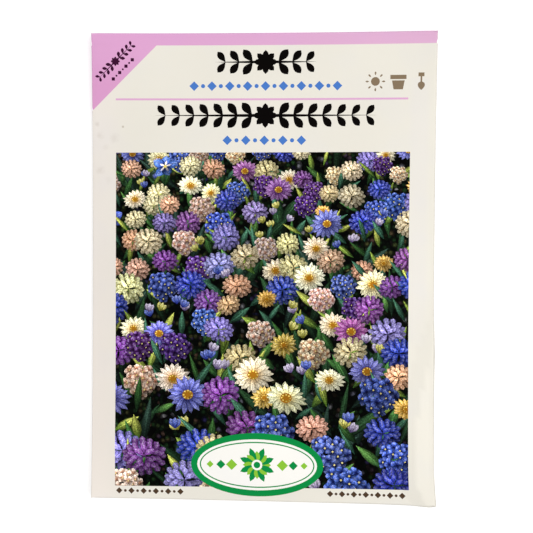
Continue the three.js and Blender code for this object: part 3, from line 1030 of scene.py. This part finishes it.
def mm(*lengths):
    return [length * MM for length in lengths]


def printed_face():
    material, nodes, surface = new_material("coated_paper_printed", BARE_PAPER, roughness=0.5, specular=0.03)
    blank = nodes("ShaderNodeAttribute", attribute_name="blank", output=1)
    root_ink, tip_ink = [nodes("ShaderNodeAttribute", attribute_name=end + "_ink") for end in ("root", "tip")]
    along, across, grain = nodes("ShaderNodeAttribute", attribute_name="blade", output=1).spread()
    light, lot, crease = [nodes("ShaderNodeAttribute", attribute_name=name, output=2)
                          for name in ("light", "lot", "crease")]
    is_petal, is_leaf, is_ground = [grain > kind - 0.5 for kind in (PETAL, LEAF, SHADE)]
    inks = mixed(smooth(along, 0.05, 0.85), root_ink, tip_ink, "RGBA")

    # a petal is darker in its middle line and at its rim, with fine streaks along it, and its tip catches the
    # sun; a leaf has a pale rib
    off_middle = abs(across)
    streaks = nodes.vector(along * 1.3, across * 3.2, lot * 61.0).noise(1.6, 3.0, 0.6)
    streaks = smooth(streaks, 0.3, 0.72, 0.55, 1.4)
    rim = smooth(off_middle, 0.5, 1.0, 1.0, 0.28)
    petal = smooth(off_middle, 0.0, 0.22, 0.7, 1.0)
    blade = smooth(off_middle, 0.02, 0.16, 1.9, 1.0) * smooth(across, -0.1, 0.1, 0.72, 1.18)
    speckle = smooth(blank.noise(3000.0, 2.0, 0.7), 0.36, 0.64, 0.52, 1.42)
    tone = mixed(is_petal, 1.0, mixed(is_leaf, petal, blade) * streaks * rim * speckle) * light
    sunlit = smooth(along, 0.4, 0.8) * smooth(off_middle, 0.1, 0.6, 0.2, 0.0) * streaks * (is_petal - is_leaf)
    inks = mixed(sunlit, inks, (0.86, 0.85, 0.9, 1), "RGBA")

    # the ground of the flower bed is a tangle of small leaves and petals in shade
    cells = nodes.add("ShaderNodeTexVoronoi", blank, 900.0)
    tangle = smooth(Wire(nodes, cells.outputs["Distance"]), 0.05, 0.6, 1.1, 0.1)
    shades = nodes.add("ShaderNodeValToRGB", Wire(nodes, cells.outputs["Color"]).spread()[0])
    for at, code in ((0.0, "080c07"), (0.3, "0f1f10"), (0.5, "22442a"), (0.68, "40703a"), (0.82, "7d7a4a"),
                     (0.9, "8c6b5a"), (0.96, "3f3f8c")):
        shades.color_ramp.elements.new(at).color = opaque(code)
    shades.color_ramp.elements.remove(shades.color_ramp.elements[0])
    tangled = toned(Wire(nodes, shades.outputs[0]), tangle)
    inks = mixed(is_ground, inks, tangled, "RGBA")

    # the coating has yellowed a little unevenly, and more greyly beside the picture; a painted light tint
    # makes the left margin pinker, and a painted sheen lightens the violet band towards the right
    inks = toned(inks, tone * smooth(blank.noise(45.0, 2.0, 0.5), 0.3, 0.7, 0.985, 1.01))
    u, v, _ = blank.spread()
    in_flash = (v - u > (FLASH_LOW - FLASH_LEFT) * MM) * (v > FLASH_LOW * MM)
    # painted light tint on the left margin, outside the corner flash: pinker, and duller at its head
    margin_light_tint = mixed(smooth(v, *mm(20, -50)), MARGIN_LIGHT_HIGH, MARGIN_LIGHT_LOW, "VECTOR")
    inks = tinted(inks, smooth(u, *mm(-30, -40)) * (1.0 - in_flash), margin_light_tint)
    inks = tinted(inks, smooth(v, *mm(51, 43)) * in_flash, FLASH_CAST)
    in_band = in_flash.math("MAXIMUM", v > BAND_LOW * MM) * (v < 58 * MM)
    # painted sheen on the violet band, growing towards the right
    inks = tinted(inks, in_band, mixed(smooth(u, *mm(-40, 40)), BAND_SHEEN_LEFT, BAND_SHEEN_RIGHT, "VECTOR"))
    beside = smooth(u, *mm(34, 36.5)) * smooth(u, *mm(38.5, 40.5), 1.0, 0.0)
    inks = tinted(inks, beside * smooth(v, *mm(-25, 0)) * (v < 45 * MM), GREY_CAST)
    inks = tinted(inks, smooth(blank.noise(110.0, 1.0, 0.5), 0.45, 0.7) * 0.8, PATCH_CAST)

    # the ink is rubbed off in places along the side folds, painted shade darkens all the folds, the right end
    # of the top and bottom ones most, and a few smudges show near the upper left
    rubbed = smooth(blank.noise(420.0, 4.0, 0.65) + crease * 0.35, 0.72, 0.86, 0.0, 0.75)
    inks = over(inks, rubbed * smooth(crease, 0.1, 0.5), "f2eee6")
    half_turn = END_CREASE / 2 * MM
    past_end = abs(v) - END * MM
    end_fold = smooth(past_end, 0.0, half_turn) * smooth(past_end, half_turn, 2 * half_turn, 1.0, 0.0)
    # painted shade at the folds, where the sheet turns away from the light, darker at the right
    fold_shade = smooth(crease.math("MAXIMUM", end_fold), 0.25, 0.7, 1.0, 0.78 - (u > 20 * MM) * 0.12)
    inks = toned(inks, fold_shade)
    ragged = blank.noise(900.0, 2.0, 0.5)
    for x, y, size, strength in SMUDGES:
        away = blank.vector_math("DISTANCE", (x * MM, y * MM, 0))
        inks = over(inks, smooth(away / (size * MM) + ragged * 1.6, 0.7, 2.1, strength, 0.0), "7c6030")
    inks.to(surface, "Base Color")
    roughen(surface, blank.noise(2600.0, 2.0, 0.6), 0.02 * MM, 0.12)
    return material


def plain_paper(name, colour, roughness):
    material, nodes, surface = new_material(name, colour, roughness, specular=0.2)
    fibres = nodes("ShaderNodeTexCoord", output=3).noise(900.0, 3.0, 0.65)
    toned((*colour,), smooth(fibres, 0.3, 0.7, 0.93, 1.04)).to(surface, "Base Color")
    roughen(surface, fibres, 0.03 * MM, 0.4)
    return material


def put_on(mesh, name, values):
    """Stores values by corner on the mesh; the corners past the end of the values get noughts."""
    width = values.shape[-1]
    kind, field = {1: ("FLOAT", "value"), 2: ("FLOAT2", "vector"), 3: ("FLOAT_VECTOR", "vector"),
                   4: ("FLOAT_COLOR", "color")}[width]
    full = np.zeros(len(mesh.loops) * width, np.float32)
    full[: values.size] = values.ravel()
    mesh.attributes.new(name, kind, "CORNER").data.foreach_set(field, full)


def read_points(data, field):
    """A vector for each point, from the mesh."""
    values = np.zeros(len(data) * 3, np.float32)
    data.foreach_get(field, values)
    return values.reshape(-1, 3)


flat_sheet = bpy.data.meshes.new("flat_sheet")
sides = np.repeat([1.0, -1.0], [len(skin), len(lining)])
points = np.column_stack([np.concatenate([skin, lining]), sides])
flat_sheet.from_pydata(points.tolist(), [], triangles.tolist())
flat_sheet.attributes.new("finish", "INT", "FACE").data.foreach_set("value", on_face.astype(np.int32))
for name, values in print_values().items():
    put_on(flat_sheet, name, values)
put_on(flat_sheet, "OFBake", map_places())
finishes = (printed_face(), plain_paper("paper_lining", ink("e2dccd"), 0.8),
            plain_paper("paper_cut_edge", ink("efece4"), 0.85))
packet_mesh = shaped("fold_and_fill", flat_sheet, folding_tree(finishes), FILLING)
packet_mesh.name = "printed_packet"
bpy.data.objects.remove(FILLING["Seeds"])
packet_mesh.attributes.remove(packet_mesh.attributes["finish"])
packet_mesh.polygons.foreach_set("use_smooth", np.ones(len(triangles), bool))

# each skin is shaded by the way that the sheet faces there, and the cut edge is flat
facing = read_points(packet_mesh.attributes["facing"].data, "vector")
wall_corners = read_points(packet_mesh.vertices, "co")[walls]
flat = np.cross(wall_corners[:, 1] - wall_corners[:, 0], wall_corners[:, 2] - wall_corners[:, 0])
flat /= np.maximum(1e-15, np.linalg.norm(flat, axis=1))[:, None]
normals = [facing[skin_corners].reshape(-1, 3), -facing[lining_corners[:, ::-1] + inner].reshape(-1, 3)]
packet_mesh.normals_split_custom_set(np.concatenate([*normals, np.repeat(flat, 3, axis=0)]).tolist())
packet_mesh.attributes.remove(packet_mesh.attributes["facing"])
packet = placed("printed_packet", packet_mesh)
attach(packet, "root")
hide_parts("paper_packet")

# ---------------------------------------------------------------- The glue lines
# Three thin lines of clear glue hold the wings together. They dried a little yellow, with a ripple left by
# the roller that laid them.
GLUE = ink("d6cda6")
dried_glue, nodes, surface = new_material("dried_glue", GLUE, roughness=0.25, specular=0.4)
ripple = nodes("ShaderNodeTexCoord", output=3).vector_math("MULTIPLY", (1, 6, 1)).noise(260.0, 3.0, 0.6)
toned((*GLUE,), smooth(ripple, 0.3, 0.7, 0.86, 1.06)).to(surface, "Base Color")
roughen(surface, ripple, 0.02 * MM, 0.5)
for name in ("seam_glue", "top_flap_glue", "bottom_flap_glue"):
    glue_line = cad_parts[name].data
    glue_line.materials.clear()
    glue_line.materials.append(dried_glue)

# ---------------------------------------------------------------- The seeds
# Thirty loose seeds lie in one layer inside: flattened beans, a little squared, narrower at the scar where
# each was joined to its pod. Their smooth coat is brown, mottled with darker flecks.
SEED = {"Length": 4.4, "Width": 3.5, "Thickness": 2.2, "Squareness": 0.82, "Narrowing": 0.16, "Scar": 0.14}


def seed_coat():
    material, nodes, surface = new_material("seed_coat", ink("6b5a45"), roughness=0.38, specular=0.45)
    place = nodes("ShaderNodeTexCoord", output=3)
    lots = smooth(place.noise(130.0, 1.0, 0.5), 0.35, 0.65, 0.75, 1.25)
    flecks = smooth(place.noise(2600.0, 3.0, 0.6), 0.5, 0.6)
    bloom = smooth(place.noise(700.0, 2.0, 0.5), 0.4, 0.7, 0.0, 0.35)
    coat = over(mixed(flecks, opaque("84705a"), opaque("3a2c20"), "RGBA"), bloom, "a39682")
    toned(coat, lots).to(surface, "Base Color")
    roughen(surface, place.noise(3200.0, 3.0, 0.6), 0.02 * MM, 0.5)
    return material


def squared(value, power):
    """Moves a part of a round form outwards, towards a box."""
    return abs(value).math("POWER", power) * value.math("SIGN")


def seed_tree():
    """Lays a seed on each point, turned and sized as the point says."""
    nodes, size = new_form("lay_seeds", SEED)
    x, y, z = nodes("GeometryNodeInputPosition").spread()
    x = squared(x, size["Squareness"])
    narrowing = 1.0 - size["Narrowing"] * (x + 1.0) / 2
    y, z = squared(y, size["Squareness"]) * narrowing, z * narrowing
    scar = smooth(y * y * 3.0 + z * z * 6.0, 0.02, 0.16, 1.0, 0.0) * (x > 0.0) * size["Scar"]
    skin = nodes.vector(x * size["Length"] / 2 - scar, y * size["Width"] / 2, z * size["Thickness"] / 2)
    skin = skin.vector_math("MULTIPLY", (MM, MM, MM))
    seed = nodes("GeometryNodeSetPosition", nodes("GeometryNodeMeshUVSphere", 28, 16, 1.0), None, skin)
    seed = nodes("GeometryNodeSetShadeSmooth", seed, None, True)
    turn, scale = [nodes("GeometryNodeInputNamedAttribute", name, data_type="FLOAT")
                   for name in ("turn", "scale")]
    laid = nodes("GeometryNodeInstanceOnPoints", size["Geometry"], None, seed, None, None,
                 nodes.vector(0.0, 0.0, turn), scale)
    laid = nodes("GeometryNodeSetMaterial", nodes("GeometryNodeRealizeInstances", laid), None, seed_coat())
    nodes.add("NodeGroupOutput", laid)
    return nodes


def seed_place(name):
    """Middle, turn and size of a seed of the frame. Its scar is at the narrower end of its long axis."""
    corners = np.array([tuple(v.co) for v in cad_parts[name].data.vertices])
    low, high = corners.min(0), corners.max(0)
    level = corners[:, :2] - (low + high)[:2] / 2
    way = np.linalg.svd(level - level.mean(0), full_matrices=False)[2][0]
    side = np.array([-way[1], way[0]])
    along, across = level @ way, level @ side
    middle = (along.max() + along.min()) / 2 * way + (across.max() + across.min()) / 2 * side
    if (abs(across) * np.sign(along)).sum() > 0:
        way = -way
    scale = (high[2] - low[2]) / MM / SEED["Thickness"] / (1 - SEED["Narrowing"] / 2)
    return (*((low + high)[:2] / 2 + middle), (low + high)[2] / 2), math.atan2(way[1], way[0]), scale


middles, turns, scales = zip(*map(seed_place, seed_names))
spots = bpy.data.meshes.new("seed_places")
spots.from_pydata(middles, [], [])
for name, values in (("turn", turns), ("scale", scales)):
    spots.attributes.new(name, "FLOAT", "POINT").data.foreach_set("value", values)
seeds = placed("loose_seeds", shaped("lay_seeds", spots, seed_tree(), SEED))
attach(seeds, "root")
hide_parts(*seed_names)

# ---------------------------------------------------------------- The table and the light
# A white table, a little lit from inside, and three large soft lamps, as for copying flat work, so that the
# inks keep their depth and only the folds catch the light. A round white screen stands at the far end of the
# table; it takes no part in the light on the packet.
TABLE_HALF = 1.5  # metres; it is also the radius and the height of the screen
SCREEN_LOW, SCREEN_SIDES = -0.2, 64
TABLE_GLOW, SCREEN_GLOW, ROOM_LIGHT = 0.36, 0.9, 0.58


def stage_piece(name, points, faces, material_name, colour, roughness, specular, glow):
    """A piece of the studio, which isn't part of the packet."""
    mesh = bpy.data.meshes.new(name)
    mesh.from_pydata(points, [], faces)
    material, _, surface = new_material(material_name, colour, roughness, specular)
    surface.inputs["Emission Color"].default_value = (1, 1, 1, 1)
    surface.inputs["Emission Strength"].default_value = glow
    mesh.materials.append(material)
    piece = placed(name, mesh)
    return piece


corners = [(x * TABLE_HALF, y * TABLE_HALF, 0) for x, y in ((-1, -1), (1, -1), (1, 1), (-1, 1))]
stage_piece("table", corners, [(0, 1, 2, 3)], "lit_white_table", (0.8, 0.8, 0.8), 0.9, 0.1, TABLE_GLOW)
round_table = oval(0, 0, TABLE_HALF, TABLE_HALF, SCREEN_SIDES)
points = [(x, y, z) for z in (SCREEN_LOW, TABLE_HALF) for x, y in round_table]
after = [(i, (i + 1) % SCREEN_SIDES) for i in range(SCREEN_SIDES)]
faces = [(i, i + SCREEN_SIDES, j + SCREEN_SIDES, j) for i, j in after]
screen = stage_piece("screen", points, faces, "white_screen", (0, 0, 0), 1.0, 0.0, SCREEN_GLOW)
for ray in ("diffuse", "glossy", "transmission", "shadow"):
    setattr(screen, "visible_" + ray, False)

world = bpy.data.worlds.new("studio")
bpy.context.scene.world = world
world.use_nodes = True
background = world.node_tree.nodes["Background"]
background.inputs["Color"].default_value = (1, 1, 1, 1)
background.inputs["Strength"].default_value = ROOM_LIGHT


def soft_lamp(name, place, size, watts, colour=(1, 1, 1)):
    """A square lamp that shines on the packet."""
    data = bpy.data.lights.new(name, "AREA")
    data.size = size
    data.energy = watts
    data.color = colour
    lamp = placed(name, data)
    lamp.location = place
    lamp.rotation_euler = (-Vector(place)).to_track_quat("-Z", "Y").to_euler()


soft_lamp("lamp_right", (0.7, 0.0, 0.6), 1.0, 6.6, (1, 0.99, 0.97))
soft_lamp("lamp_left", (-0.8, 0.1, 0.7), 1.0, 1.8, (1, 0.97, 0.98))
soft_lamp("lamp_top", (0.0, 0.9, 0.7), 1.0, 1.6)
bpy.context.scene.view_settings.view_transform = "Standard"

# ---------------------------------------------------------------- The camera
# It looks down on the packet, from a little to its left and below the middle, as in the photograph.
IMAGE = 533  # pixels, both ways
FOCAL = 1600  # pixels
TILT = Euler([math.radians(a) for a in (2.09, -6.2, -0.475)], "XYZ").to_matrix()
MIDDLE = Vector((-0.915, -0.29, -382.4)) * MM
camera_data = bpy.data.cameras.new("camera")
camera_data.sensor_width = 36
camera_data.lens = camera_data.sensor_width * FOCAL / IMAGE
camera = placed("camera", camera_data)
camera.rotation_euler = TILT.transposed().to_euler()
camera.location = TILT.transposed() @ -MIDDLE
bpy.context.scene.camera = camera
